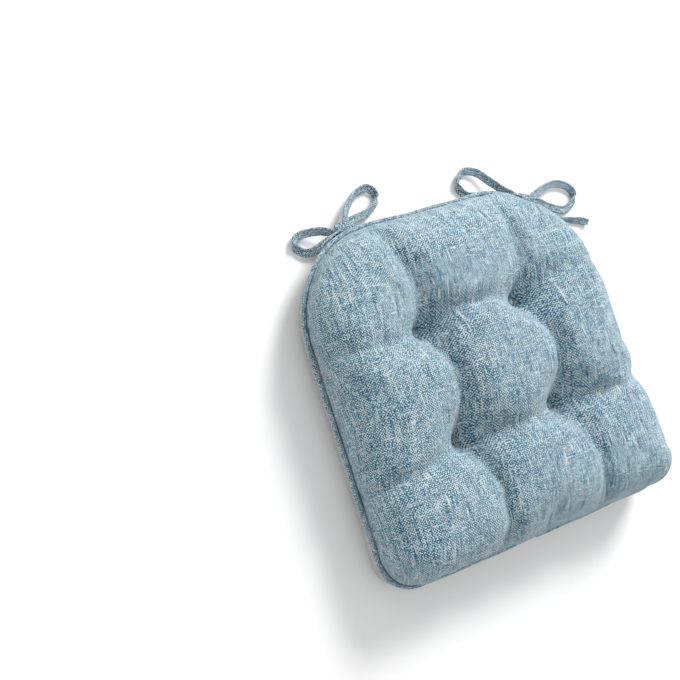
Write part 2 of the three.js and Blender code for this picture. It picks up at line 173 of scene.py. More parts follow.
def seam_line(spacing=0.5 * MM):
    """Closely spaced points of the seam line, their outward normals, and the length so far."""
    corner, shoulder, side = seam_arcs()
    points, normals = [], []

    def straight(start, end, angle):
        count = max(int(np.linalg.norm(np.subtract(end, start)) / spacing), 1)
        for i in range(count):
            points.append(np.array(start) + (np.array(end) - np.array(start)) * i / count)
            normals.append((math.cos(angle), math.sin(angle)))

    def arc(centre, radius, begin, finish):
        count = max(int(abs(finish - begin) * radius / spacing), 1)
        for i in range(count):
            angle = begin + (finish - begin) * i / count
            normals.append((math.cos(angle), math.sin(angle)))
            points.append(centre + radius * np.array(normals[-1]))

    quarter = math.pi / 2
    out = np.array([math.cos(side), math.sin(side)])
    straight((0, -BACK_Y), (corner[0], -BACK_Y), -quarter)
    arc(corner, FRONT_CORNER, -quarter, side)
    straight(corner + FRONT_CORNER * out, shoulder + SHOULDER * out, side)
    arc(shoulder, SHOULDER, side, quarter)
    straight((shoulder[0], BACK_Y), (0, BACK_Y), quarter)
    points.append((0, BACK_Y))
    normals.append((0, 1))
    right = np.array(points)
    right_normals = np.array(normals)
    mirror = np.array([-1, 1])
    line = np.concatenate([right, right[-2:0:-1] * mirror])
    outward = np.concatenate([right_normals, right_normals[-2:0:-1] * mirror])
    steps = np.linalg.norm(np.roll(line, -1, axis=0) - line, axis=1)
    length = np.concatenate([[0], np.cumsum(steps)])
    return line, outward, length


SEAM, SEAM_OUT, SEAM_LENGTH = seam_line()


def on_seam(length, offset=0.0):
    """Points at these lengths along the seam line, moved out by offset, and the outward normals there."""
    length = np.mod(length, SEAM_LENGTH[-1])
    closed = np.vstack([SEAM, SEAM[:1]])
    closed_out = np.vstack([SEAM_OUT, SEAM_OUT[:1]])
    x = np.interp(length, SEAM_LENGTH, closed[:, 0])
    y = np.interp(length, SEAM_LENGTH, closed[:, 1])
    nx = np.interp(length, SEAM_LENGTH, closed_out[:, 0])
    ny = np.interp(length, SEAM_LENGTH, closed_out[:, 1])
    normal = np.stack([nx, ny], axis=1)
    normal /= np.linalg.norm(normal, axis=1)[:, None]
    return np.stack([x, y], axis=1) + normal * np.reshape(offset, (-1, 1)), normal


def nearest_on_seam(points):
    """For each point, the nearest point of the seam line, the normal there and the distance outwards."""
    nearest = np.empty(len(points), int)
    for start in range(0, len(points), 2000):
        block = points[start:start + 2000]
        gaps = ((block[:, None, :] - SEAM[None, ::4, :]) ** 2).sum(axis=2)
        nearest[start:start + 2000] = gaps.argmin(axis=1) * 4
    foot, out = SEAM[nearest], SEAM_OUT[nearest]
    distance = ((points - foot) * out).sum(axis=1)
    return foot, out, distance


# ---------- top cover ----------

# The cover's side in section, measured out from the seam line, and the cloth's squares each way.
RIM_OUT = 1.0 * MM
BULGE_Z = 46 * MM
RIM_Z = 93 * MM
RIM_IN = 46 * MM
COVER_INSET = 1 * MM
CROSSWISE = 124
LENGTHWISE = 118

# How much the back leans in, and how much lower the back and the sides are than the crown.
BACK_LEAN = 12 * MM
BACK_DROP = 17 * MM
SIDE_DROP = 3 * MM

# The pit's half-width, and how the cloth is held while it swells: softly near the seam and the tufts.
PIT_WIDTH = 23 * MM
PINNED_RADIUS = 7 * MM
SOFT_HOLD = 46 * MM
SEAM_HOLD = 0.5
TUFT_HOLD = 0.6
TUFT_HOLD_RADIUS = 28 * MM


def rim_profile():
    """(run, out, height) of the cover from the seam up its side to the crown's edge."""
    angle = np.linspace(-math.pi / 2, 0, 24)
    rise = BULGE_Z - SEAM_Z - MM
    low = np.stack([RIM_OUT + (RIM_OUT + COVER_INSET) * (np.cos(angle) ** 0.7 - 1),
                    BULGE_Z + rise * np.sin(angle)], axis=1)
    angle = np.linspace(0, math.pi / 2, 48)[1:]
    reach = RIM_OUT + RIM_IN
    high = np.stack([RIM_OUT - reach * (1 - np.cos(angle)),
                     BULGE_Z + (RIM_Z - BULGE_Z) * np.sin(angle)], axis=1)
    line = np.vstack([low, high])
    return lengths_along(line), line[:, 0], line[:, 1]


RIM_RUN, RIM_SIDE, RIM_HEIGHT = rim_profile()
PATTERN_OUT = RIM_RUN[-1] + RIM_SIDE[-1]


def pattern_grid():
    """The cover's flat cut as a grid of quads between its four rounded corners."""
    corner, shoulder, side = seam_arcs()
    total = SEAM_LENGTH[-1]
    front_middle = corner[0] + FRONT_CORNER * (side + math.pi / 2) / 2
    back_middle = total / 2 - shoulder[0] - SHOULDER * (math.pi / 2 - side) / 2
    stops = [front_middle, back_middle, total - back_middle, total - front_middle, total + front_middle]

    def run(start, end, count):
        fine = np.linspace(start, end, 400)
        place, _ = on_seam(fine, PATTERN_OUT)
        length = lengths_along(place)
        even = np.linspace(0, length[-1], count + 1)
        return np.stack([np.interp(even, length, place[:, k]) for k in (0, 1)], axis=1)

    right = run(stops[0], stops[1], LENGTHWISE)
    back = run(stops[2], stops[1], CROSSWISE)
    left = run(stops[3], stops[2], LENGTHWISE)
    front = run(stops[3], stops[4], CROSSWISE)
    u = np.linspace(0, 1, CROSSWISE + 1)[:, None, None]
    v = np.linspace(0, 1, LENGTHWISE + 1)[None, :, None]
    ruled_v = (1 - v) * front[:, None] + v * back[:, None]
    ruled_u = (1 - u) * left[None, :] + u * right[None, :]
    corners = (
        (1 - u) * (1 - v) * front[0] + u * (1 - v) * front[-1]
        + (1 - u) * v * back[0] + u * v * back[-1]
    )
    return ruled_v + ruled_u - corners


def groove(points, start, end, bow, depth_start, depth_end, width):
    """A valley's depth at each point, along a run from start to end that bows to its left by bow."""
    start, end = np.array(start), np.array(end)
    along = end - start
    left = np.array([-along[1], along[0]]) / np.linalg.norm(along)
    depth = np.zeros(len(points))
    for t in np.linspace(0, 1, 24):
        middle = start + along * t + left * bow * 4 * t * (1 - t)
        gap = np.linalg.norm(points - middle, axis=1)
        here = depth_start + (depth_end - depth_start) * t
        depth = np.maximum(depth, here * np.exp(-((gap / width) ** 1.5)))
    return depth


FRONT_LEFT, FRONT_RIGHT, BACK_RIGHT, BACK_LEFT = TUFTS

# Start, end, then in millimetres the bow, the depth at the start and at the end, and the width.
VALLEYS = [
    (FRONT_LEFT, FRONT_RIGHT, -5, 20, 18, 15),
    (FRONT_RIGHT, BACK_RIGHT, -11, 26, 22, 13),
    (BACK_RIGHT, BACK_LEFT, -9, 21, 19, 13),
    (BACK_LEFT, FRONT_LEFT, 10, 19, 25, 13),
    (FRONT_LEFT, (-0.196, -0.086), 4, 18, 10, 11),
    (FRONT_LEFT, (-0.066, -0.190), 8, 20, 14, 12),
    (FRONT_RIGHT, (0.083, -0.188), 7, 19, 10, 14),
    (FRONT_RIGHT, (0.200, -0.066), -6, 17, 9, 16),
    (BACK_RIGHT, (0.186, 0.083), 5, 15, 7, 17),
    (BACK_RIGHT, (0.086, 0.190), -4, 15, 7, 16),
    (BACK_LEFT, (-0.088, 0.186), -9, 18, 12, 12),
    (BACK_LEFT, (-0.186, 0.066), 6, 15, 7, 16),
]


def filled_height(points):
    """The pits and the valleys of the tufted cover, before the filling swells it."""
    pits = np.exp(-((tuft_distance(points) / PIT_WIDTH) ** 1.2))
    valleys = np.zeros(len(points))
    for start, end, *sizes in VALLEYS:
        valleys = np.maximum(valleys, groove(points, start, end, *[size * MM for size in sizes]))
    return pits, valleys


def cover_start(pattern):
    """The cover's place before the simulation, for points of the flat cut."""
    foot, out, distance = nearest_on_seam(pattern)
    inward = PATTERN_OUT - distance
    on_rim = inward < RIM_RUN[-1]
    side = np.interp(inward, RIM_RUN, RIM_SIDE)
    flat = np.where(on_rim[:, None], foot + out * side[:, None], pattern)
    rise = smooth_step((inward - RIM_RUN[-1]) / (110 * MM)) * (CROWN_Z - RIM_Z)
    height = np.interp(inward, RIM_RUN, RIM_HEIGHT) + rise
    raised = smooth_step((height - SEAM_Z) / (60 * MM))
    back = np.clip(out[:, 1], 0, 1) * raised * smooth_step((distance + 110 * MM) / (60 * MM))
    flat = flat - out * (back * BACK_LEAN)[:, None]
    near = np.exp(-((distance / (80 * MM)) ** 2)) * smooth_step((height - SEAM_Z) / (45 * MM))
    height = height - near * (BACK_DROP * np.clip(out[:, 1] + 0.15, 0, 1) + SIDE_DROP * np.abs(out[:, 0]))
    pits, valleys = filled_height(flat)
    reach = smooth_step((inward - 14 * MM) / (45 * MM))
    height = height - valleys * reach
    height = height - (height - PIT_Z + MM) * pits * reach
    return np.column_stack([flat, height]), inward


def make_top_cover():
    grid = pattern_grid()
    columns, rows = grid.shape[:2]
    pattern = grid.reshape(-1, 2)
    places, inward = cover_start(pattern)
    faces = []
    for i in range(columns - 1):
        for j in range(rows - 1):
            a = i * rows + j
            faces.append((a, a + rows, a + rows + 1, a + 1))
    cover = new_object("top_cover_cloth", places, faces, body=None)
    lay_weave(cover.data, pattern[corner_vertices(cover.data)])
    number = np.arange(len(pattern))
    at_seam = np.isin(number % rows, (0, rows - 1)) | np.isin(number // rows, (0, columns - 1))
    nearest_tuft = tuft_distance(places[:, :2])
    at_tuft = nearest_tuft < PINNED_RADIUS
    for k in np.flatnonzero(at_tuft):
        cover.data.vertices[k].co.z = PIT_Z - 0.4 * MM
    hold = SEAM_HOLD * np.clip(1 - inward / SOFT_HOLD, 0, 1) ** 2
    hold = np.maximum(hold, TUFT_HOLD * np.clip(1 - nearest_tuft / TUFT_HOLD_RADIUS, 0, 1) ** 0.7)
    hold[at_seam | at_tuft] = 1.0
    pins = cover.vertex_groups.new(name="held")
    for k in np.flatnonzero(hold > 0):
        pins.add([int(k)], float(hold[k]), "REPLACE")
    cover.data.materials.append(MATERIALS["linen_cover"])
    return cover


FRAMES = 24
PRESSURE = 4.5
EXTRA_CLOTH = 0.045
STIFFNESS = 15


def inflate(cover):
    """Swells the cover by cloth simulation and keeps the settled shape."""
    cloth = cover.modifiers.new("filling", "CLOTH")
    settings = cloth.settings
    settings.quality = 6
    settings.mass = 0.3
    settings.tension_stiffness = STIFFNESS
    settings.compression_stiffness = STIFFNESS
    settings.shear_stiffness = STIFFNESS / 3
    settings.bending_stiffness = 0.4
    settings.tension_damping = 5
    settings.compression_damping = 5
    settings.shear_damping = 5
    settings.bending_damping = 0.5
    settings.air_damping = 1
    settings.use_pressure = True
    settings.uniform_pressure_force = PRESSURE
    settings.shrink_min = -EXTRA_CLOTH
    settings.vertex_group_mass = "held"
    settings.effector_weights.gravity = 0
    cloth.collision_settings.use_collision = False
    cloth.point_cache.frame_start = 1
    cloth.point_cache.frame_end = FRAMES
    scene = bpy.context.scene
    for number in range(1, FRAMES + 1):
        scene.frame_set(number)
    settled = cover.evaluated_get(bpy.context.evaluated_depsgraph_get())
    co = np.empty(len(cover.data.vertices) * 3, np.float32)
    settled.data.vertices.foreach_get("co", co)
    cover.modifiers.remove(cloth)
    scene.frame_set(1)
    cover.data.vertices.foreach_set("co", co)
    cover.data.update()


# ---------- material building ----------

class Nodes:
    """A short way to write node materials."""

    def __init__(self, name):
        self.material = bpy.data.materials.new(name)
        self.material.use_nodes = True
        self.tree = self.material.node_tree
        self.shader = self.tree.nodes["Principled BSDF"]

    def join(self, source, target):
        """Sets a socket to a value, or links it to another node's output."""
        if isinstance(source, (int, float, tuple)):
            target.default_value = source
        else:
            self.tree.links.new(source, target)

    def math(self, operation, a, b=0.0, c=0.0):
        node = self.tree.nodes.new("ShaderNodeMath")
        node.operation = operation
        for value, socket in zip((a, b, c), node.inputs):
            self.join(value, socket)
        return node.outputs[0]

    def place(self, map_name, turn=0.0, size=1.0):
        """The piece's own flat coordinates in metres, turned and counted in steps of size."""
        source = self.tree.nodes.new("ShaderNodeUVMap")
        source.uv_map = map_name
        mapping = self.tree.nodes.new("ShaderNodeMapping")
        mapping.inputs["Rotation"].default_value = (0, 0, turn)
        mapping.inputs["Scale"].default_value = (1 / size, 1 / size, 1)
        self.tree.links.new(source.outputs[0], mapping.inputs["Vector"])
        return mapping.outputs[0]

    def solid_place(self, size=1.0):
        """The piece's own space, counted in steps of size."""
        source = self.tree.nodes.new("ShaderNodeTexCoord")
        mapping = self.tree.nodes.new("ShaderNodeMapping")
        mapping.inputs["Scale"].default_value = (1 / size, 1 / size, 1 / size)
        self.tree.links.new(source.outputs["Object"], mapping.inputs["Vector"])
        return mapping.outputs[0]

    def split(self, vector):
        node = self.tree.nodes.new("ShaderNodeSeparateXYZ")
        self.tree.links.new(vector, node.inputs[0])
        return node.outputs[0], node.outputs[1], node.outputs[2]

    def pair(self, x, y, z=0.0):
        node = self.tree.nodes.new("ShaderNodeCombineXYZ")
        for value, socket in zip((x, y, z), node.inputs):
            self.join(value, socket)
        return node.outputs[0]

    def noise(self, vector, scale=1.0, detail=2.0, roughness=0.5, distortion=0.0):
        node = self.tree.nodes.new("ShaderNodeTexNoise")
        self.tree.links.new(vector, node.inputs["Vector"])
        node.inputs["Scale"].default_value = scale
        node.inputs["Detail"].default_value = detail
        node.inputs["Roughness"].default_value = roughness
        node.inputs["Distortion"].default_value = distortion
        return node.outputs[0]

    def mix(self, factor, a, b):
        node = self.tree.nodes.new("ShaderNodeMix")
        node.data_type = "RGBA"
        self.join(factor, node.inputs["Factor"])
        self.join(a, node.inputs[6])
        self.join(b, node.inputs[7])
        return node.outputs[2]

    def ramp(self, value, stops):
        node = self.tree.nodes.new("ShaderNodeValToRGB")
        self.join(value, node.inputs[0])
        while len(node.color_ramp.elements) < len(stops):
            node.color_ramp.elements.new(0.5)
        for element, (position, colour) in zip(node.color_ramp.elements, stops):
            element.position = position
            element.color = colour
        return node.outputs[0]

    def bump(self, height, distance, strength=1.0):
        node = self.tree.nodes.new("ShaderNodeBump")
        node.inputs["Strength"].default_value = strength
        node.inputs["Distance"].default_value = distance
        self.join(height, node.inputs["Height"])
        self.tree.links.new(node.outputs[0], self.shader.inputs["Normal"])

    def finish(self, colour, roughness=0.9, sheen=0.0, sheen_roughness=0.4, specular=0.2):
        self.join(colour, self.shader.inputs["Base Color"])
        self.shader.inputs["Roughness"].default_value = roughness
        self.shader.inputs["Sheen Weight"].default_value = sheen
        self.shader.inputs["Sheen Roughness"].default_value = sheen_roughness
        self.shader.inputs["Specular IOR Level"].default_value = specular
        return self.material


def srgb(red, green, blue):
    """A colour given as 0-255 screen values."""
    linear = [c / 255 / 12.92 if c <= 10 else ((c / 255 + 0.055) / 1.055) ** 2.4 for c in (red, green, blue)]
    return (*linear, 1)


NAVY = srgb(24, 70, 96)
BLUE = srgb(88, 138, 160)
SKY = srgb(148, 188, 202)
CREAM = srgb(222, 235, 238)


def woven(name, turn=0.0, thread=1.4 * MM, slub=13, contrast=1.5, relief=0.35 * MM, shade=1.0, mapped=True):
    """Plain weave of uneven blue threads: salt-and-pepper heather with long pale slubs, and painted shade
    darkening the hollows between the threads.
    """
    n = Nodes(name)
    place = n.place("weave", turn, thread) if mapped else n.solid_place(thread)
    wander = n.noise(place, 0.045, 1.0)
    x, y, _ = n.split(place)
    x = n.math("ADD", x, n.math("MULTIPLY", wander, 1.6))
    y = n.math("ADD", y, n.math("MULTIPLY", wander, 1.3))
    column = n.math("FLOOR", x)
    row = n.math("FLOOR", y)
    warp_place = n.pair(n.math("MULTIPLY", column, 3.713), n.math("DIVIDE", y, slub), 0.37)
    warp = n.noise(warp_place, 1.0, 3.0, 0.78)
    weft_place = n.pair(n.math("DIVIDE", x, slub * 0.7), n.math("MULTIPLY", row, 3.371), 5.41)
    weft = n.noise(weft_place, 1.0, 3.0, 0.78)
    over = n.math("MODULO", n.math("ABSOLUTE", n.math("ADD", column, row)), 2.0)
    under = n.math("SUBTRACT", 1.0, over)
    paler = n.math("ADD", warp, 0.12)
    darker = n.math("SUBTRACT", weft, 0.12)
    tone = n.math("ADD", n.math("MULTIPLY", paler, over), n.math("MULTIPLY", darker, under))
    blend = n.math("MULTIPLY", n.math("ADD", warp, weft), 0.5)
    tone = n.math("ADD", n.math("MULTIPLY", tone, 0.85), n.math("MULTIPLY", blend, 0.15))
    fleck = n.noise(place, 1.2, 0.0, 0.6)
    tone = n.math("ADD", tone, n.math("MULTIPLY", n.math("SUBTRACT", fleck, 0.5), 0.8))
    tone = n.math("MULTIPLY_ADD", n.math("SUBTRACT", tone, 0.5), contrast, 0.5)
    colour = n.ramp(tone, [(0.30, NAVY), (0.45, BLUE), (0.58, SKY), (0.72, CREAM)])
    fine_column = n.math("FLOOR", n.math("MULTIPLY", x, 1.5))
    fine_row = n.math("FLOOR", n.math("MULTIPLY", y, 1.5))
    warp_place = n.pair(n.math("MULTIPLY", fine_column, 5.317), n.math("DIVIDE", y, slub * 1.3), 9.13)
    weft_place = n.pair(n.math("DIVIDE", x, slub * 0.7), n.math("MULTIPLY", fine_row, 4.919), 2.77)
    long_warp = n.noise(warp_place, 1.0, 1.0)
    long_weft = n.noise(weft_place, 1.0, 1.0)
    dark = n.math("MULTIPLY", n.math("SUBTRACT", 0.36, n.math("MINIMUM", long_warp, long_weft)), 6.0)
    dark = n.math("MINIMUM", n.math("MAXIMUM", dark, 0.0), 0.4)
    colour = n.mix(dark, colour, NAVY)
    pale_warp = n.math("MULTIPLY", n.math("SUBTRACT", long_warp, 0.63), 9.0)
    pale_weft = n.math("MULTIPLY", n.math("SUBTRACT", long_weft, 0.66), 9.0)
    pale = n.math("MAXIMUM", pale_warp, pale_weft)
    pale = n.math("MINIMUM", n.math("MAXIMUM", pale, 0.0), 0.8)
    colour = n.mix(pale, colour, CREAM)
    round_x = n.math("ABSOLUTE", n.math("SINE", n.math("MULTIPLY", x, math.pi)))
    round_y = n.math("ABSOLUTE", n.math("SINE", n.math("MULTIPLY", y, math.pi)))
    across = n.math("MULTIPLY", round_x, n.math("MULTIPLY_ADD", round_y, 0.6, 0.4))
    along = n.math("MULTIPLY", round_y, n.math("MULTIPLY_ADD", round_x, 0.6, 0.4))
    height = n.math("ADD", n.math("MULTIPLY", across, over), n.math("MULTIPLY", along, under))
    # Painted shade: the colour is drawn towards dark navy in the hollows between the threads, most at the
    # threads' edges; a lower shade value darkens it more.
    thread_gap_painted_shade = n.math("MULTIPLY_ADD", height, 0.5, 0.60 * shade)
    colour = n.mix(n.math("MINIMUM", thread_gap_painted_shade, 1.0), srgb(40, 66, 86), colour)
    n.bump(n.math("ADD", height, n.math("MULTIPLY", n.math("ADD", tone, pale), 0.9)), relief)
    return n.finish(colour, 0.92, 0.3, 0.5, 0.15)


def grip_fabric():
    """Pale non-woven cloth with short fibres."""
    n = Nodes("grip_fabric")
    place = n.place("weave", 0, 0.9 * MM)
    fibres = n.noise(place, 0.9, 3.0, 0.7)
    soft = n.noise(place, 0.03, 2.0)
    tone = n.math("ADD", n.math("MULTIPLY", fibres, 0.55), n.math("MULTIPLY", soft, 0.45))
    pale, middle, dark = srgb(196, 196, 193), srgb(176, 177, 175), srgb(150, 151, 150)
    colour = n.ramp(tone, [(0.32, dark), (0.5, middle), (0.68, pale)])
    n.bump(fibres, 0.25 * MM)
    return n.finish(colour, 0.95, 0.15, 0.5, 0.1)


def speckled(name, grain, noise, dark, pale, relief, *look):
    """A plain stuff mottled between two colours; dark and pale are (place on the noise, colour)."""
    n = Nodes(name)
    spot = n.noise(n.solid_place(grain), *noise)
    colour = n.ramp(spot, [dark, pale])
    n.bump(spot, relief)
    return n.finish(colour, *look)


def make_materials():
    return dict(
        linen_cover=woven("linen_cover", math.radians(3), 1.6 * MM),
        piping_cloth=woven("piping_cloth", math.radians(45), 1.4 * MM, 10, 1.5, 0.3 * MM, 0.95),
        tie_tape=woven("tie_tape", 0.0, 1.5 * MM, 5, 2.0, 0.25 * MM, 0.85),
        tie_tape_solid=woven("tie_tape_solid", 0.0, 1.5 * MM, 5, 2.0, 0.25 * MM, 0.85, mapped=False),
        grip_fabric=grip_fabric(),
        grip_dot=speckled("grip_dot", 4 * MM, (1.0, 2.0), (0.35, srgb(188, 189, 186)),
                          (0.65, srgb(206, 206, 202)), 0.05 * MM, 0.55, 0.0, 0.3, 0.4),
        foam=speckled("foam", 1 * MM, (0.9, 3.0, 0.7), (0.35, srgb(190, 170, 118)),
                      (0.6, srgb(226, 212, 168)), 0.4 * MM, 0.95),
        fibre=speckled("fibre", 3 * MM, (1.0, 5.0, 0.75, 1.5), (0.3, srgb(205, 207, 208)),
                       (0.6, srgb(240, 240, 240)), 1.5 * MM, 1.0, 0.3),
        cotton=speckled("cotton", 0.5 * MM, (1.0, 3.0, 0.6), (0.35, srgb(196, 194, 186)),
                        (0.65, srgb(236, 234, 226)), 0.15 * MM, 0.9),
    )


# ---------- top cover after it has settled ----------

def relax(cover, columns, rows, rounds=2):
    """Evens out the settled cloth away from the pits and the seam."""
    places = read_places(cover.data).reshape(columns, rows, 3)
    weight = 0.6 * smooth_step((tuft_distance(places[..., :2]) - 8 * MM) / (16 * MM))[..., None]
    for _ in range(rounds):
        around = (places[:-2, 1:-1] + places[2:, 1:-1] + places[1:-1, :-2] + places[1:-1, 2:]) / 4
        places[1:-1, 1:-1] += (around - places[1:-1, 1:-1]) * weight[1:-1, 1:-1]
    write_places(cover.data, places)


def gather_seam(cover):
    """Small gathers where the cover's cloth is eased into the seam."""
    places = read_places(cover.data)
    normal = np.array([v.normal for v in cover.data.vertices])
    foot, _, distance = nearest_on_seam(places[:, :2])
    angle = np.arctan2(foot[:, 1], foot[:, 0])
    rise = places[:, 2] - SEAM_Z
    near = np.exp(-rise / (13 * MM)) * smooth_step(rise / (3 * MM)) * (rise > 0) * (distance > -30 * MM)
    wave = np.sin(angle * 61 + 3 * np.sin(angle * 7)) + 0.7 * np.sin(angle * 97 + 2 * np.sin(angle * 11))
    strength = 0.55 + 0.45 * np.sin(angle * 5 + 1)
    fold = np.zeros(len(places))
    for valley in VALLEYS[len(TUFTS):]:
        across = np.linalg.norm(places[:, :2] - np.array(valley[1]) * 1.06, axis=1)
        fold = np.maximum(fold, np.exp(-((across / (9 * MM)) ** 2)))
    move = (wave * strength * 0.55 * MM - fold * 1.3 * MM) * near
    write_places(cover.data, places + normal * move[:, None])


# ---------- studio ----------

KEY_PLACE = Vector((2.4, 2.3, 2.4))
KEY_ENERGY = 190
KEY_SIZE = 1.6
SKY_STRENGTH = 0.72
FLOOR_REACH = 20


def make_key_light():
    data = bpy.data.lights.new("key", "AREA")
    data.energy = KEY_ENERGY
    data.size = KEY_SIZE
    lamp = bpy.data.objects.new("key", data)
    bpy.context.scene.collection.objects.link(lamp)
    lamp.location = KEY_PLACE
    lamp.rotation_euler = (-KEY_PLACE).to_track_quat("-Z", "Y").to_euler()


def make_floor():
    corners = [(-1, -1), (1, -1), (1, 1), (-1, 1)]
    vertices = [(x * FLOOR_REACH, y * FLOOR_REACH, 0) for x, y in corners]
    floor = new_object("floor", vertices, [(0, 1, 2, 3)], body=None)
    white = bpy.data.materials.new("floor")
    white.use_nodes = True
    shader = white.node_tree.nodes["Principled BSDF"]
    shader.inputs["Base Color"].default_value = (0.93, 0.93, 0.93, 1)
    shader.inputs["Roughness"].default_value = 0.9
    floor.data.materials.append(white)


def make_studio():
    scene = bpy.context.scene
    scene.view_settings.view_transform = "Standard"
    scene.view_settings.look = "None"
    world = bpy.data.worlds.new("studio")
    scene.world = world
    world.use_nodes = True
    sky = world.node_tree.nodes["Background"]
    sky.inputs["Color"].default_value = (1, 1, 1, 1)
    sky.inputs["Strength"].default_value = SKY_STRENGTH
    make_key_light()
    make_floor()


# ---------- filling and foam under the cover ----------

LEDGE_Z = 57 * MM
LEDGE_OUT = -14 * MM
FOAM_TOP_Z = 26 * MM
FILL_BOTTOM_Z = FOAM_TOP_Z + 0.3 * MM
FILL_OUT = -3.5 * MM


def lowest_near(values, columns, rows, reach=2):
    """Each grid point's lowest value among its neighbours."""
    grid = values.reshape(columns, rows)
    padded = np.pad(grid, reach, mode="edge")
    shifts = [padded[i:i + columns, j:j + rows] for i in range(2 * reach + 1) for j in range(2 * reach + 1)]
    return np.min(shifts, axis=0).ravel()


def make_fill(cover, columns, rows):
    """The fibre swelling the cover, a little inside it, with a foot small enough to sink past the seam."""
    mesh = cover.data
    places = read_places(mesh)
    foot, out, distance = nearest_on_seam(places[:, :2])
    reach = np.minimum(lowest_near(distance, columns, rows, 1) - 2.5 * MM, FILL_OUT)
    height = lowest_near(places[:, 2], columns, rows) - 3 * MM
    near_rim = distance > -60 * MM
    low = near_rim & (height < LEDGE_Z)
    in_foot = low & (height < LEDGE_Z - 10 * MM)
    on_ledge = low & ~in_foot
    reach = np.where(in_foot, LEDGE_OUT, reach)
    foot_height = np.where(height < LEDGE_Z - 16 * MM, FILL_BOTTOM_Z, LEDGE_Z - 2 * MM)
    height = np.where(in_foot, foot_height, height)
    height = np.where(on_ledge, LEDGE_Z, height)
    flat = np.where(near_rim[:, None], foot + out * reach[:, None], places[:, :2])
    vertices = np.vstack([np.column_stack([flat, height]), [[0, 0, FILL_BOTTOM_Z]]])
    faces = [tuple(p.vertices) for p in mesh.polygons]
    rim = list(range(rows)) + [i * rows + rows - 1 for i in range(1, columns)]
    rim += [(columns - 1) * rows + j for j in range(rows - 2, -1, -1)]
    rim += [i * rows for i in range(columns - 2, 0, -1)]
    middle = len(places)
    for a, b in zip(rim, rim[1:] + rim[:1]):
        faces.append((a, b, middle))
    fill = new_object("fibre_fill_soft", vertices, faces, body="filling")
    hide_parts("fibre_fill")
    fill.data.materials.append(MATERIALS["fibre"])


# The slab's side as (in from the seam line, height) in millimetres, from the top down.
FOAM_SIDE = [(11.5, 25.7), (9.2, 24.0), (8.6, 20.0), (8.8, 6.0), (9.5, 2.6), (11.5, 1.6)]


def make_foam():
    """A slab with softly rounded edges inside the lower cover, hollowed over the underside's dimples."""
    count = 300
    lengths = np.arange(count) * SEAM_LENGTH[-1] / count
    rings = []
    for inset, height in FOAM_SIDE:
        place, _ = on_seam(lengths, -inset * MM)
        rings.append(np.column_stack([place, height * MM + dimple(place)]))
    rings += inner_rings(rings[-1][:, :2], 40, FOAM_SIDE[-1][1] * MM)
    top = np.array([[0, 0, FOAM_TOP_Z]])
    vertices = np.vstack(rings + [top])
    faces = ring_faces(len(rings) - 1, count)
    for k in range(count):
        faces.append((k, (k + 1) % count, len(vertices) - 1))
    foam = new_object("foam_core_slab", vertices, faces)
    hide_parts("foam_core")
    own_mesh(foam)
    foam.data.materials.append(MATERIALS["foam"])


# ---------- lower cover ----------

def from_front_corners(lengths):
    """How far along the seam line each of the two front corners is, with its sign."""
    corner, _, side = seam_arcs()
    total = SEAM_LENGTH[-1]
    middle = corner[0] + FRONT_CORNER * (side + math.pi / 2) / 2
    return [(lengths - place + total / 2) % total - total / 2 for place in (middle, total - middle)]


def wall_ripple(lengths, height):
    """How far the boxed wall stands out: puckers under the seam, and a pinched dart at each front corner."""
    wave = 0.55 * np.sin(lengths / (17 * MM) + 1.3 * np.sin(lengths / (61 * MM)))
    wave = wave + 0.35 * np.sin(lengths / (6.3 * MM) + 2 * np.sin(lengths / (43 * MM)))
    top = np.exp(-((SEAM_Z - height) / (12 * MM)))
    out = wave * (0.25 + 0.75 * top) * MM
    for gap in from_front_corners(lengths):
        out = out + 1.6 * MM * np.exp(-(gap / (9 * MM)) ** 2) - 3.2 * MM * np.exp(-(gap / (1.6 * MM)) ** 2)
    return out


def wall_lean(lengths, height):
    """How far the wall draws in under the seam; the front corners stay the squarest."""
    lean = np.full(len(lengths), 5.5 * MM)
    for gap in from_front_corners(lengths):
        lean = lean - 3.0 * MM * np.exp(-(gap / (45 * MM)) ** 2)
    return lean * (1 - np.clip(height / SEAM_Z, 0, 1)) ** 0.9


# The wall in section as (out from the seam line, height) in millimetres, from the seam down.
WALL = [(-2.0, 31.0), (-1.2, 30.2), (-0.9, 28.5), (-0.5, 25.5), (-0.2, 21.5), (-0.1, 17.0), (-0.1, 12.5),
        (-0.4, 8.5), (-0.9, 5.2), (-2.1, 2.6), (-4.2, 1.1), (-7.5, 0.65), (-13.0, 0.6), (-21.0, 0.6)]


def dimple(points):
    """How far the tuft threads draw the underside up."""
    rise = np.zeros(len(points))
    for tuft in TUFTS:
        gap = np.linalg.norm(points - tuft, axis=1)
        rise = np.maximum(rise, 3.4 * MM * np.exp(-((gap / (8.5 * MM)) ** 1.6)))
        angle = np.arctan2(points[:, 1] - tuft[1], points[:, 0] - tuft[0])
        rise = rise + 0.25 * MM * (1 + np.cos(7 * angle)) * np.exp(-(((gap - 11 * MM) / (6 * MM)) ** 2))
    return rise


def inner_rings(outline, steps, level):
    """Ever smaller copies of an outline and its middle point, at this level with the dimples added."""
    rings = []
    for step in range(1, steps):
        place = outline * (1 - step / steps)
        rings.append(np.column_stack([place, level + dimple(place)]))
    rings.append(np.array([[0, 0, level]]))
    return rings


def ring_faces(rings, count):
    """Faces joining this many rings of count points, listed from the top down, to a last single point."""
    faces = []
    for layer in range(rings - 1):
        for k in range(count):
            a, b = layer * count + k, layer * count + (k + 1) % count
            faces.append((a, a + count, b + count, b))
    last = (rings - 1) * count
    for k in range(count):
        faces.append((last + (k + 1) % count, last + k, last + count))
    return faces


UNDERSIDE_Z = 2 * MM


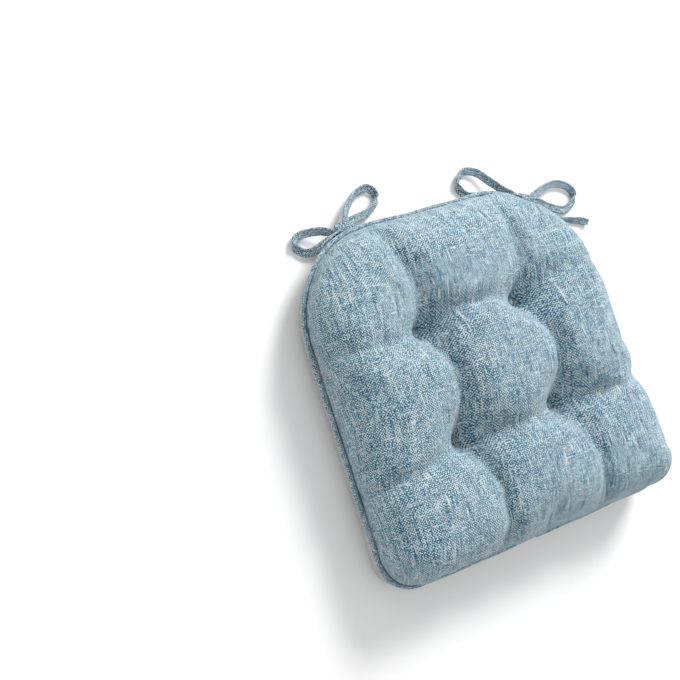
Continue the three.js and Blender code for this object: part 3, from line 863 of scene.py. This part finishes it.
def make_bottom_cover():
    spacing = 2.2 * MM
    count = int(SEAM_LENGTH[-1] / spacing)
    lengths = np.arange(count) * SEAM_LENGTH[-1] / count
    rings, flat = [], []
    drop = 0.0
    previous = WALL[0]
    for inset, height in WALL:
        drop += math.hypot(inset - previous[0], height - previous[1]) * MM
        previous = (inset, height)
        push = wall_ripple(lengths, height * MM) * np.clip((height - 0.6) / 6, 0, 1)
        place, _ = on_seam(lengths, inset * MM + push - wall_lean(lengths, height * MM))
        rings.append(np.column_stack([place, np.full(count, height * MM)]))
        flat.append(np.column_stack([lengths, np.full(count, -drop)]))
    under_rings = inner_rings(rings[-1][:, :2], 56, WALL[-1][1] * MM)
    rings += under_rings
    flat += [ring[:, :2] for ring in under_rings]
    vertices, flat = np.vstack(rings), np.vstack(flat)
    faces = ring_faces(len(rings) - 1, count)
    cover = new_object("bottom_cover_tray", vertices, faces)
    mesh = cover.data
    corners = corner_vertices(mesh)
    faces_of = np.repeat(np.arange(len(mesh.polygons)), [len(p.vertices) for p in mesh.polygons])
    under = vertices[corners][:, 2] < UNDERSIDE_Z
    on_wall = np.ones(len(mesh.polygons), bool)
    on_wall[faces_of[under]] = False
    on_wall = on_wall[faces_of]
    uv = np.where(on_wall[:, None], flat[corners], vertices[corners][:, :2])
    furthest = np.zeros(len(mesh.polygons))
    np.maximum.at(furthest, faces_of, uv[:, 0])
    total = SEAM_LENGTH[-1]
    past_start = on_wall & (furthest[faces_of] > total * 0.75) & (uv[:, 0] < total * 0.25)
    uv[past_start, 0] += total
    lay_weave(mesh, uv)
    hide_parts("bottom_cover")
    mesh.materials.append(MATERIALS["grip_fabric"])
    mesh.materials.append(MATERIALS["grip_dot"])


DOT_RADIUS = 1.0 * MM
DOT_HEIGHT = 0.42 * MM
DOT_PITCH = 7.0 * MM
DOT_MARGIN = 17 * MM
DOT_SIDES = 8
WALL_SLOPE = 0.19


def wall_dots():
    """Middles and normals of the dots on the wall, in rows that are offset by half a step."""
    count = int(SEAM_LENGTH[-1] / DOT_PITCH)
    outs, heights = np.array(WALL)[::-1].T * MM
    middles, normals = [], []
    for number, height in enumerate(np.arange(5.5, 27.5, 5.2) * MM):
        lengths = (np.arange(count) + 0.5 * (number % 2)) * SEAM_LENGTH[-1] / count
        reach = np.interp(height, heights, outs)
        place, out = on_seam(lengths, reach + wall_ripple(lengths, height) - wall_lean(lengths, height))
        middles.append(np.column_stack([place, np.full(count, height)]))
        normals.append(unit(np.column_stack([out, np.full(count, -WALL_SLOPE)])))
    return np.vstack(middles), np.vstack(normals)


def floor_dots():
    """Middles of the dots on the underside, in a triangular grid that leaves the dimples free."""
    steps = np.arange(-34, 35)
    grid = [((i + 0.5 * (j % 2)) * DOT_PITCH, j * DOT_PITCH * 0.866) for i in steps for j in steps]
    grid = np.array(grid)
    _, _, distance = nearest_on_seam(grid)
    grid = grid[(distance < -DOT_MARGIN) & (tuft_distance(grid) > DOT_MARGIN)]
    return np.column_stack([grid, np.full(len(grid), WALL[-1][1] * MM)])


def make_grip_dots():
    """Rubber dots printed on the lower cover's wall and underside."""
    wall, wall_normals = wall_dots()
    under = floor_dots()
    middles = np.vstack([wall, under])
    normals = np.vstack([wall_normals, np.tile([0, 0, -1.0], (len(under), 1))])
    vertices, faces = [], []
    for middle, normal in zip(middles, normals):
        side = unit(np.cross(normal, [0.3, 0.2, 0.93] if abs(normal[2]) < 0.8 else [1.0, 0, 0]))
        other = np.cross(normal, side)
        first = len(vertices)
        for reach, lift in ((1.0, -0.1), (0.8, 0.7)):
            for k in range(DOT_SIDES):
                turn = 2 * math.pi / DOT_SIDES * k
                across = math.cos(turn) * side + math.sin(turn) * other
                vertices.append(middle + DOT_RADIUS * reach * across + normal * DOT_HEIGHT * lift)
        top = first + DOT_SIDES
        vertices.append(middle + normal * DOT_HEIGHT)
        for k in range(DOT_SIDES):
            after = (k + 1) % DOT_SIDES
            faces.append((first + k, first + after, top + after, top + k))
            faces.append((top + k, top + after, top + DOT_SIDES))
    dots = new_object("bottom_cover_dots", vertices, faces)
    dots.data.materials.append(MATERIALS["grip_dot"])
    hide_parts("bottom_cover")


# ---------- sweeping cords, tapes and piping ----------

def smooth_path(points, spacing):
    """A Catmull-Rom curve through the points, evenly spaced."""
    points = np.array(points, float)
    ends = np.vstack([2 * points[0] - points[1], points, 2 * points[-1] - points[-2]])
    knots = [0.0]
    for a, b in zip(ends[:-1], ends[1:]):
        knots.append(knots[-1] + max(np.linalg.norm(b - a), 1e-6) ** 0.5)
    fine = []
    for k in range(1, len(ends) - 2):
        p0, p1, p2, p3 = ends[k - 1:k + 3]
        t0, t1, t2, t3 = knots[k - 1:k + 3]
        for t in np.linspace(t1, t2, 24, endpoint=False):
            a1 = (t1 - t) / (t1 - t0) * p0 + (t - t0) / (t1 - t0) * p1
            a2 = (t2 - t) / (t2 - t1) * p1 + (t - t1) / (t2 - t1) * p2
            a3 = (t3 - t) / (t3 - t2) * p2 + (t - t2) / (t3 - t2) * p3
            b1 = (t2 - t) / (t2 - t0) * a1 + (t - t0) / (t2 - t0) * a2
            b2 = (t3 - t) / (t3 - t1) * a2 + (t - t1) / (t3 - t1) * a3
            fine.append((t2 - t) / (t2 - t1) * b1 + (t - t1) / (t2 - t1) * b2)
    fine = np.vstack([fine, points[-1:]])
    length = lengths_along(fine)
    even = np.linspace(0, length[-1], max(int(length[-1] / spacing), 4) + 1)
    return np.stack([np.interp(even, length, fine[:, k]) for k in range(3)], axis=1), even


def tape_section(width, thickness):
    """Half the outline of a folded tape: two plies with soft folds and a stitched, slightly open edge."""
    half, thin = width / 2, thickness / 2
    outline = []
    for end in (1, -1):
        for angle in np.linspace(-math.pi / 2, math.pi / 2, 7):
            across = end * (half - thin + thin * math.cos(angle))
            outline.append((across, end * thin * math.sin(angle)))
        for across in np.linspace(half - thin, -half + thin, 9)[1:-1] * end:
            hollow = 0.44 * thin * math.exp(-((across - 0.3 * half) / (0.16 * half)) ** 2)
            outline.append((across, end * (thin * 0.92 - hollow)))
    return np.array(outline)


FLOOR_GAP = 0.3 * MM


def sweep(name, path, run, section, wide, body, material, squeeze=None, twist=None, seed=0):
    """A closed-ended section carried along a path; its width keeps to wide as nearly as it can."""
    tangent = unit(np.gradient(path, axis=0))
    wide = np.broadcast_to(np.asarray(wide, float), path.shape)
    wide = unit(wide - (wide * tangent).sum(axis=1)[:, None] * tangent)
    thin = np.cross(tangent, wide)
    if twist is not None:
        wide, thin = (wide * np.cos(twist)[:, None] + thin * np.sin(twist)[:, None],
                      thin * np.cos(twist)[:, None] - wide * np.sin(twist)[:, None])
    count = len(section)
    size = np.ones((len(path), 2)) if squeeze is None else squeeze
    vertices = (path[:, None, :] + wide[:, None, :] * section[None, :, 0, None] * size[:, 0, None, None]
                + thin[:, None, :] * section[None, :, 1, None] * size[:, 1, None, None]).reshape(-1, 3)
    vertices[:, 2] = np.maximum(vertices[:, 2], FLOOR_GAP)
    first_end = len(vertices)
    vertices = np.vstack([vertices, path[:1], path[-1:]])
    faces = []
    for i in range(len(path) - 1):
        for k in range(count):
            a, b = i * count + k, i * count + (k + 1) % count
            faces.append((a, b, b + count, a + count))
    last = (len(path) - 1) * count
    for k in range(count):
        faces.append(((k + 1) % count, k, first_end))
        faces.append((last + k, last + (k + 1) % count, first_end + 1))
    around = lengths_along(np.vstack([section, section[:1]]))
    uv = []
    for face in faces:
        closing = any(v % count == count - 1 for v in face if v < first_end)
        for vertex in face:
            step, side = divmod(vertex, count)
            if vertex >= first_end:
                step, side = (vertex - first_end) * (len(path) - 1), 0
            across = around[count if side == 0 and closing else side]
            uv.append((across + seed * 0.037, run[step] + seed * 0.113))
    piece = new_object(name, vertices, faces, body)
    lay_weave(piece.data, uv)
    piece.data.materials.append(MATERIALS[material])
    return piece


PIPING_RADIUS = 3.05 * MM
PIPING_OUT = 2.5 * MM
CORD_RADIUS = 2.0 * MM
TWIST_PITCH = 7.5 * MM


def piping_line(lengths):
    """The piping's middle: it wanders a little in and out and up and down along the seam."""
    sway = 0.5 * np.sin(lengths / (31 * MM)) + 0.35 * np.sin(lengths / (12.7 * MM) + 1)
    lift = 0.7 * np.sin(lengths / (47 * MM) + 0.6) + 0.35 * np.sin(lengths / (15 * MM) + 2)
    place, _ = on_seam(lengths, PIPING_OUT + sway * MM)
    return np.column_stack([place, SEAM_Z + lift * MM])


def make_ring(name, node, radius, sides, material, swell):
    """A round section all the way round the seam; swell(angle, turns, lengths) is its uneven radius."""
    count = int(SEAM_LENGTH[-1] / (1.5 * MM))
    step = SEAM_LENGTH[-1] / count
    lengths = np.arange(count) * step
    path = piping_line(lengths)
    tangent = unit(np.roll(path, -1, axis=0) - np.roll(path, 1, axis=0))
    up = unit(np.array([0, 0, 1.0]) - tangent * tangent[:, 2:3])
    side = np.cross(tangent, up)
    angle = np.arange(sides) * 2 * math.pi / sides
    turns = lengths[:, None] / TWIST_PITCH * math.pi
    reach = radius + swell(angle[None, :], turns, lengths[:, None])
    vertices = (path[:, None, :] + side[:, None, :] * (reach * np.cos(angle))[:, :, None]
                + up[:, None, :] * (reach * np.sin(angle))[:, :, None]).reshape(-1, 3)
    wide = 2 * math.pi * radius / sides
    faces, uv = [], []
    for i in range(count):
        for k in range(sides):
            j, m = (i + 1) % count, (k + 1) % sides
            faces.append((i * sides + k, j * sides + k, j * sides + m, i * sides + m))
            for across, along in ((k, i), (k, i + 1), (k + 1, i + 1), (k + 1, i)):
                uv.append((across * wide, along * step))
    piece = new_object(name, vertices, faces)
    lay_weave(piece.data, uv)
    piece.data.materials.append(MATERIALS[material])
    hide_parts(node)


def make_piping():
    def puckered(angle, turns, lengths):
        return 0.16 * MM * np.sin(angle + turns) * np.sin(lengths / (23 * MM))

    def three_strands(angle, turns, lengths):
        return -0.3 * MM * np.abs(np.sin(1.5 * angle + turns))

    make_ring("welt_cover_piping", "welt_cover", PIPING_RADIUS, 20, "piping_cloth", puckered)
    make_ring("welt_cord_twist", "welt_cord", CORD_RADIUS, 12, "cotton", three_strands)


# ---------- ties ----------

TAPE_WIDTH = 10.5 * MM
TAPE_THICKNESS = 3.2 * MM
TAPE_LEAN = math.radians(66)
EXIT_Z = 17.5 * MM
KNOT_Z = 18.6 * MM
KNOT_HALF = 6 * MM
KNOT_GAP = 0.3 * MM
LEAD = 4 * MM


class Bow:
    """One tie's knot and the places its tapes leave it."""

    def __init__(self, side, x, y, turn):
        self.side = side
        self.middle = np.array([x, y]) * MM
        self.along = np.array([math.cos(math.radians(turn)), math.sin(math.radians(turn))])
        self.beside = np.array([-self.along[1], self.along[0]])

    def leave(self, end, away, beside):
        place = self.middle + end * (KNOT_HALF + away) * self.along + beside * self.beside
        return np.array([*place, EXIT_Z])


LEFT = Bow("left", -104, 209.5, 18.7)
RIGHT = Bow("right", 166, 185, -26.6)

# Each loop: its bow, part name, end of the knot (-1 or 1), where beside the knot's middle it leaves and
# comes back, and its route between them, in millimetres. A tail only leaves.
LOOPS = [
    (LEFT, "loop_outer", -1, 2.4, -2.4, [(-128.6, 214.5, 12), (-145.1, 217, 7.5), (-158, 214.5, 5.1),
     (-162.5, 206.5, 5.1), (-157.5, 198, 5.1), (-146.5, 194, 6.5), (-131, 197.5, 12)]),
    (LEFT, "loop_inner", 1, 4.8, 1.6, [(-80, 234.4, 11.5), (-59.5, 248, 7), (-40, 250.3, 5.1),
     (-33, 236.5, 5.1), (-52, 222.5, 7.5), (-75, 217.8, 13)]),
    (RIGHT, "loop_inner", -1, 2.4, -2.4, [(146, 201.5, 15), (133.7, 217, 11), (118, 235.5, 7),
     (101.8, 239.8, 5.1), (87.5, 227.4, 5.1), (91.6, 212.9, 5.1), (110.6, 204.8, 7.5), (140, 196, 14.5)]),
    (RIGHT, "loop_outer", 1, 4.8, 1.6, [(190, 187, 15), (211.8, 193, 10), (234.2, 194.8, 6.5),
     (253.4, 186, 5.1), (258, 171.4, 5.1), (237.5, 159.8, 5.1), (213.4, 166.3, 8), (191, 177, 14)]),
]
TAILS = [
    (LEFT, "tail_long", 1, -1.6, [(-81, 208.6, 10), (-66, 206, 6), (-42, 204.8, 5.1), (-12, 204.6, 5.1)]),
    (LEFT, "tail_short", 1, -4.8, [(-84, 204.6, 11), (-72, 202.2, 7), (-55, 201.6, 5.1), (-28, 201.5, 5.1)]),
    (RIGHT, "tail_long", 1, -1.6, [(184, 172.5, 13), (197.5, 162.5, 8), (216.8, 151.8, 5.1),
     (244.6, 142.8, 5.1), (266, 135, 5.1)]),
    (RIGHT, "tail_short", 1, -4.8, [(181.5, 166, 12), (191.5, 150, 7), (200, 128, 5.1), (205, 100, 5.1)]),
]


def make_tape(bow, part, points, far_end):
    """One loop or tail: pinched where it leaves the knot, standing on its edge, a tail knotted at its end."""
    name = "%s_tie_%s" % (bow.side, part)
    path, run = smooth_path(points, 1.6 * MM)
    reach = run[-1]
    loop = far_end == "object"
    near = smooth_step(np.minimum(run, reach - run if loop else run) / (14 * MM))
    bulb = 0.0 if loop else np.exp(-(((reach - run - 4 * MM) / (3 * MM)) ** 2))
    tip = 1.0 if loop else 1 - 0.45 * np.exp(-((reach - run) / (1.2 * MM)))
    squeeze = np.column_stack([(0.62 + 0.38 * near - 0.1 * bulb) * tip,
                               (1.35 - 0.35 * near + 1.1 * bulb) * tip])
    twist = 0.16 * np.sin(run / (13 * MM) + len(part)) * near
    tilt = TAPE_LEAN * (np.ones(len(run)) if loop else smooth_step(run / reach - 0.25))
    lean = np.column_stack([np.zeros(len(run)), np.sin(tilt), np.cos(tilt)])
    seed = len(name) + int(bow.middle[0] * 1000)
    tape = sweep(name + "_tape", path, run, tape_section(TAPE_WIDTH, TAPE_THICKNESS), lean,
                 bow.side + "_bow", "tie_tape", squeeze, twist, seed)
    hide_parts(name)


def metres(points):
    return [np.array(p) * MM for p in points]


def make_knot_core(bow, middle, along, beside, up):
    """The tapes' fullness at both ends of the wrap."""
    bumps = bmesh.new()
    turned = Matrix((Vector(along), Vector(beside), Vector(up))).transposed().to_4x4()
    size = Matrix.Diagonal((6.6 * MM, 5.2 * MM, 5.2 * MM, 1))
    for end in (-1, 1):
        ball = bmesh.ops.create_uvsphere(bumps, u_segments=20, v_segments=12, radius=1)["verts"]
        place = Matrix.Translation(Vector(middle + along * end * 4.4 * MM - up * 0.3 * MM))
        bmesh.ops.transform(bumps, matrix=place @ turned @ size, verts=ball)
    mesh = bpy.data.meshes.new("%s_knot_core" % bow.side)
    bumps.to_mesh(mesh)
    bumps.free()
    mesh.shade_smooth()
    places = read_places(mesh)[corner_vertices(mesh)]
    lay_weave(mesh, np.column_stack([places[:, 0] + places[:, 2], places[:, 1] - places[:, 2]]))
    mesh.materials.append(MATERIALS["tie_tape"])
    core = bpy.data.objects.new("%s_tie_knot_core" % bow.side, mesh)
    bpy.context.scene.collection.objects.link(core)
    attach(core, bow.side + "_bow")


def make_knot(bow):
    """The wrap of the bow: a puffed turn of tape around the tapes that pass through it."""
    along = np.array([*bow.along, 0])
    beside = np.array([*bow.beside, 0])
    up = np.array([0, 0, 1.0])
    middle = np.array([*bow.middle, KNOT_Z])
    turn = np.linspace(0, 2 * math.pi * 1.35, 64)
    radius = 4.9 * MM + 0.5 * MM * np.cos(2 * turn)
    shift = np.linspace(-2.2, 2.2, len(turn)) * MM
    path = middle + along * shift[:, None] + beside * (radius * np.cos(turn))[:, None] * 1.05
    path = path + up * (radius * np.sin(turn))[:, None]
    slant = along + 0.25 * up * np.cos(turn)[:, None]
    wrap = sweep("%s_tie_knot_wrap" % bow.side, path, lengths_along(path), tape_section(10.0 * MM, 3.6 * MM),
                 slant, bow.side + "_bow", "tie_tape", seed=3)
    make_knot_core(bow, middle, along, beside, up)
    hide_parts("%s_tie_knot" % bow.side)
    return wrap


def make_bows():
    knots = {bow.side: make_knot(bow) for bow in (LEFT, RIGHT)}
    for bow, part, end, start_beside, end_beside, route in LOOPS:
        points = [bow.leave(end, KNOT_GAP, start_beside * MM), bow.leave(end, LEAD, start_beside * MM)]
        points += metres(route)
        points += [bow.leave(end, LEAD, end_beside * MM), bow.leave(end, KNOT_GAP, end_beside * MM)]
        make_tape(bow, part, points, "object")
    for bow, part, end, beside, route in TAILS:
        points = [bow.leave(end, KNOT_GAP, beside * MM), bow.leave(end, LEAD, beside * MM)]
        points += metres(route)
        make_tape(bow, part, points, "knot")


# ---------- buttons ----------

BUTTON_RADIUS = 5.6 * MM
BUTTON_HEIGHT = 5.4 * MM


def make_button(number, x, y):
    """A small covered button drawn down into its pit, its cloth gathered towards the thread."""
    sides, layers = 36, 10
    vertices, flat = [], []
    for layer in range(layers + 1):
        angle = math.pi / 2 * (1 - layer / layers)
        reach = BUTTON_RADIUS * math.cos(angle) ** 0.8 if layer else 0.0
        height = PIT_Z + BUTTON_HEIGHT * math.sin(angle) ** 0.9
        dent = 0.5 * MM * math.exp(-(reach / (1.2 * MM)) ** 2)
        for k in range(sides):
            turn = 2 * math.pi * k / sides
            pleated = reach * (1 + 0.05 * math.sin(7 * turn + number) * (layer / layers))
            vertices.append((x + pleated * math.cos(turn), y + pleated * math.sin(turn), height - dent))
            flat.append((reach * math.cos(turn) + number * 0.04, reach * math.sin(turn) - height))
    vertices.append((x, y, PIT_Z))
    flat.append((0, 0))
    button = new_object("tuft_button_%d_cloth" % number, vertices, ring_faces(layers + 1, sides))
    lay_weave(button.data, np.array(flat)[corner_vertices(button.data)])
    button.data.materials.append(MATERIALS["linen_cover"])
    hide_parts("tuft_button_%d" % number)


def dress_cad_parts():
    """The parts kept from the frame: threads, tie roots and straps."""
    kept = {"thread": "cotton", "root": "tie_tape_solid", "strap": "tie_tape_solid"}
    for name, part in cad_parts.items():
        for word, material in kept.items():
            if word in name:
                for slot in part.material_slots:
                    slot.material = MATERIALS[material]


# ---------- the pad ----------


def finish_top_cover(cover):
    """Settles the cover, evens it out, gathers it into the seam, stuffs it and smooths it."""
    inflate(cover)
    relax(cover, CROSSWISE + 1, LENGTHWISE + 1)
    gather_seam(cover)
    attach(cover, "pad")
    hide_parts("top_cover")
    make_fill(cover, CROSSWISE + 1, LENGTHWISE + 1)
    smooth = cover.modifiers.new("smooth", "SUBSURF")
    smooth.levels = 1
    smooth.render_levels = 1
    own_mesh(cover)


make_camera()
make_studio()
MATERIALS = make_materials()
make_bows()
cover = make_top_cover()
finish_top_cover(cover)
make_foam()
make_bottom_cover()
make_grip_dots()
make_piping()
for number, (x, y) in enumerate(TUFTS):
    make_button(number + 1, x, y)
dress_cad_parts()
